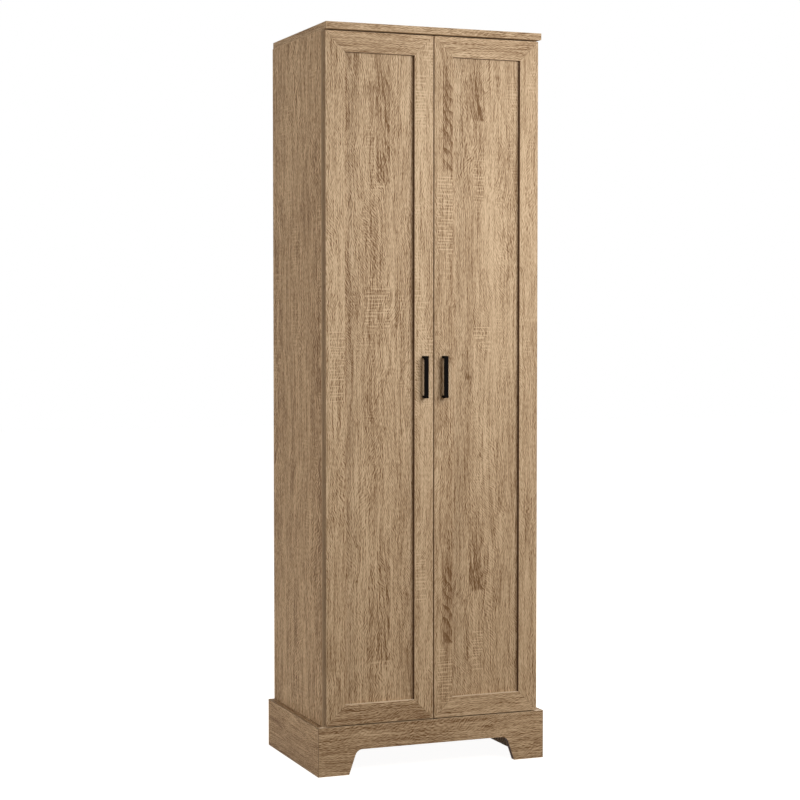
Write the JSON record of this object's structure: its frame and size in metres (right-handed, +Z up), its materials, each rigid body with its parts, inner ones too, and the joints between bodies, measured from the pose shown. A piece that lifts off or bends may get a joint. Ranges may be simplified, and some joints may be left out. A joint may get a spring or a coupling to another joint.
{
  "type": "two-door broom cupboard",
  "caption": "Tall narrow cupboard with two mitred-frame doors on cup hinges, black bar pulls, a tall bay beside loose shelves, and a skirt plinth with an arched front.",
  "frame": {"origin": "on the floor, under the middle of the overall box", "axes": "+X to the cupboard's right seen from the front, +Y to its rear, +Z up"},
  "size_m": [0.596, 0.4124, 1.8],
  "materials": {
    "case_oak": "satin oak-print laminate on board",
    "door_frame_oak": "satin oak-print laminate on board",
    "door_panel_oak": "satin oak-print laminate on board",
    "skirt_oak": "satin oak-print laminate on board",
    "inner_board": "satin oak-print laminate on board",
    "back_sheet_oak": "thin hardboard, printed inside and plain brown outside",
    "handle_black": "satin black powder coat",
    "hinge_steel": "nickel-plated pressed steel",
    "bright_steel": "zinc-plated steel",
    "cam_zinc": "die-cast zinc",
    "clear_bumper": "clear soft bumper",
    "dowel_beech": "fluted beech"
  },
  "bodies": {
    "carcass": {"adjustable_shelf_1": "case_oak", "adjustable_shelf_2": "case_oak", "adjustable_shelf_3": "case_oak", "back_sheet_lower": "back_sheet_oak", "back_sheet_upper": "back_sheet_oak", "bottom_panel": "case_oak", "cam_bolts": "bright_steel", "cam_locks": "cam_zinc", "centre_partition": "case_oak", "corner_blocks": "inner_board", "dowels": "dowel_beech", "fixed_shelf": "case_oak", "front_plinth_rail": "inner_board", "front_skirt": "skirt_oak", "left_hinge_arms": "hinge_steel", "left_hinge_plates": "hinge_steel", "left_side_panel": "case_oak", "left_skirt": "skirt_oak", "partition_screws": "bright_steel", "rear_plinth_rail": "inner_board", "right_hinge_arms": "hinge_steel", "right_hinge_plates": "hinge_steel", "right_side_panel": "case_oak", "right_skirt": "skirt_oak", "shelf_supports": "bright_steel", "top_panel": "case_oak"},
    "left_door": {"left_door_bottom_rail": "door_frame_oak", "left_door_bumpers": "clear_bumper", "left_door_handle": "handle_black", "left_door_handle_screws": "bright_steel", "left_door_hinge_cups": "hinge_steel", "left_door_hinge_stile": "door_frame_oak", "left_door_meeting_stile": "door_frame_oak", "left_door_panel": "door_panel_oak", "left_door_top_rail": "door_frame_oak"},
    "right_door": {"right_door_bottom_rail": "door_frame_oak", "right_door_bumpers": "clear_bumper", "right_door_handle": "handle_black", "right_door_handle_screws": "bright_steel", "right_door_hinge_cups": "hinge_steel", "right_door_hinge_stile": "door_frame_oak", "right_door_meeting_stile": "door_frame_oak", "right_door_panel": "door_panel_oak", "right_door_top_rail": "door_frame_oak"}
  },
  "joints": [
    {"name": "left_door_swing", "type": "hinge", "parent": "carcass", "child": "left_door", "pos_m": [-0.2722, -0.17945, 0.9515], "axis": [0, 0, -1], "range_deg": [0, 95]},
    {"name": "right_door_swing", "type": "hinge", "parent": "carcass", "child": "right_door", "pos_m": [0.2722, -0.17945, 0.9515], "axis": [0, 0, 1], "range_deg": [0, 95]}
  ]
}
